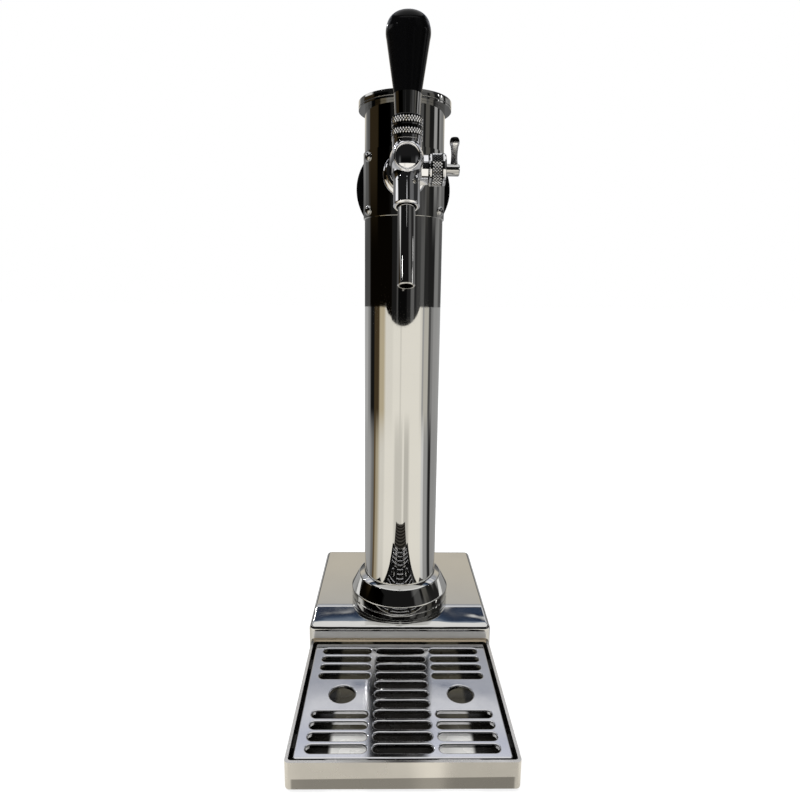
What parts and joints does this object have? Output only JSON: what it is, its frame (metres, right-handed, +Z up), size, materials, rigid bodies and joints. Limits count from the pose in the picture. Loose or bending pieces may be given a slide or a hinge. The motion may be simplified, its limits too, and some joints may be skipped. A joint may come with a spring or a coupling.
{
  "type": "beer tower dispenser",
  "caption": "Table-top beer tower: steel column on a pressed base box, one chrome flow-control tap with a black handle, and a drip tray with a slotted grille.",
  "frame": {"origin": "on the table, under the middle of the whole object", "axes": "+X to the right of someone facing the tap, +Y to the back, +Z up"},
  "size_m": [0.182, 0.34, 0.5767],
  "materials": {
    "stainless": "mirror polished stainless steel, satin on the tray front",
    "chrome": "polished chrome plate",
    "black_gloss": "black gloss",
    "rubber": "black rubber",
    "acetal": "light grey acetal",
    "line_plastic": "translucent food-grade line",
    "brass": "plain turned brass"
  },
  "bodies": {
    "stand": {"base_box": "stainless", "base_feet": "rubber", "tower_flange": "stainless", "flange_screws": "stainless", "tower_tube": "stainless", "cap_gasket": "rubber", "saddle_band": "stainless", "saddle_screws": "chrome", "medallion_housing": "black_gloss", "medallion_face": "black_gloss", "medallion_screws": "stainless", "shank_flange": "chrome", "shank": "chrome", "shank_saddle": "stainless", "shank_nut": "chrome", "coupling_nut": "chrome", "coupling_washer": "rubber", "faucet_body": "chrome", "front_cap": "chrome", "lever_bonnet": "chrome", "spout_tube": "chrome", "spout_seal": "rubber", "spout_set_screw": "stainless", "flow_bonnet": "chrome", "flow_seal": "rubber", "tail_washer": "rubber", "tail_nut": "chrome", "tail_elbow": "stainless", "beer_line": "line_plastic", "hose_clamp": "stainless", "inlet_fitting": "acetal", "inlet_nut": "acetal"},
    "tap_lever": {"tap_lever": "stainless", "lever_collar": "chrome", "handle_ferrule": "chrome", "handle_insert": "brass", "tap_handle": "black_gloss"},
    "shuttle": {"shuttle": "stainless", "shuttle_seal": "rubber"},
    "flow_control": {"flow_stem": "chrome", "flow_lever": "chrome"},
    "compensator": {"compensator": "acetal"},
    "top_cap": {"top_cap": "stainless", "cap_seal": "rubber"},
    "drip_tray": {"drip_tray": "stainless", "tray_pads": "rubber", "grille_brackets": "stainless"},
    "drip_grille": {"drip_grille": "stainless"}
  },
  "joints": [
    {"name": "lever_swing", "type": "hinge", "parent": "stand", "child": "tap_lever", "pos_m": [0, -0.049, 0.486], "axis": [1, 0, 0], "range_deg": [0, 30]},
    {"name": "shuttle_slide", "type": "slide", "parent": "stand", "child": "shuttle", "axis": [0, 1, 0], "range_m": [0, 0.0075]},
    {"name": "flow_turn", "type": "hinge", "parent": "stand", "child": "flow_control", "pos_m": [0.0409, -0.022, 0.4685], "axis": [1, 0, 0], "range_deg": [-80, 80]},
    {"name": "compensator_slide", "type": "slide", "parent": "stand", "child": "compensator", "axis": [0, 1, 0], "range_m": [-0.0016, 0.0016]},
    {"name": "cap_lift", "type": "slide", "parent": "stand", "child": "top_cap", "axis": [0, 0, 1], "range_m": [0, 0.02]},
    {"name": "tray_pull", "type": "slide", "parent": "stand", "child": "drip_tray", "axis": [0, -1, 0], "range_m": [0, 0.06]},
    {"name": "grille_lift", "type": "slide", "parent": "drip_tray", "child": "drip_grille", "axis": [0, 0, 1], "range_m": [0, 0.03]}
  ],
  "couplings": [
    {"joint": "shuttle_slide", "follows": "lever_swing", "m_per_rad": 0.0137},
    {"joint": "compensator_slide", "follows": "flow_turn", "m_per_rad": 0.00106}
  ]
}
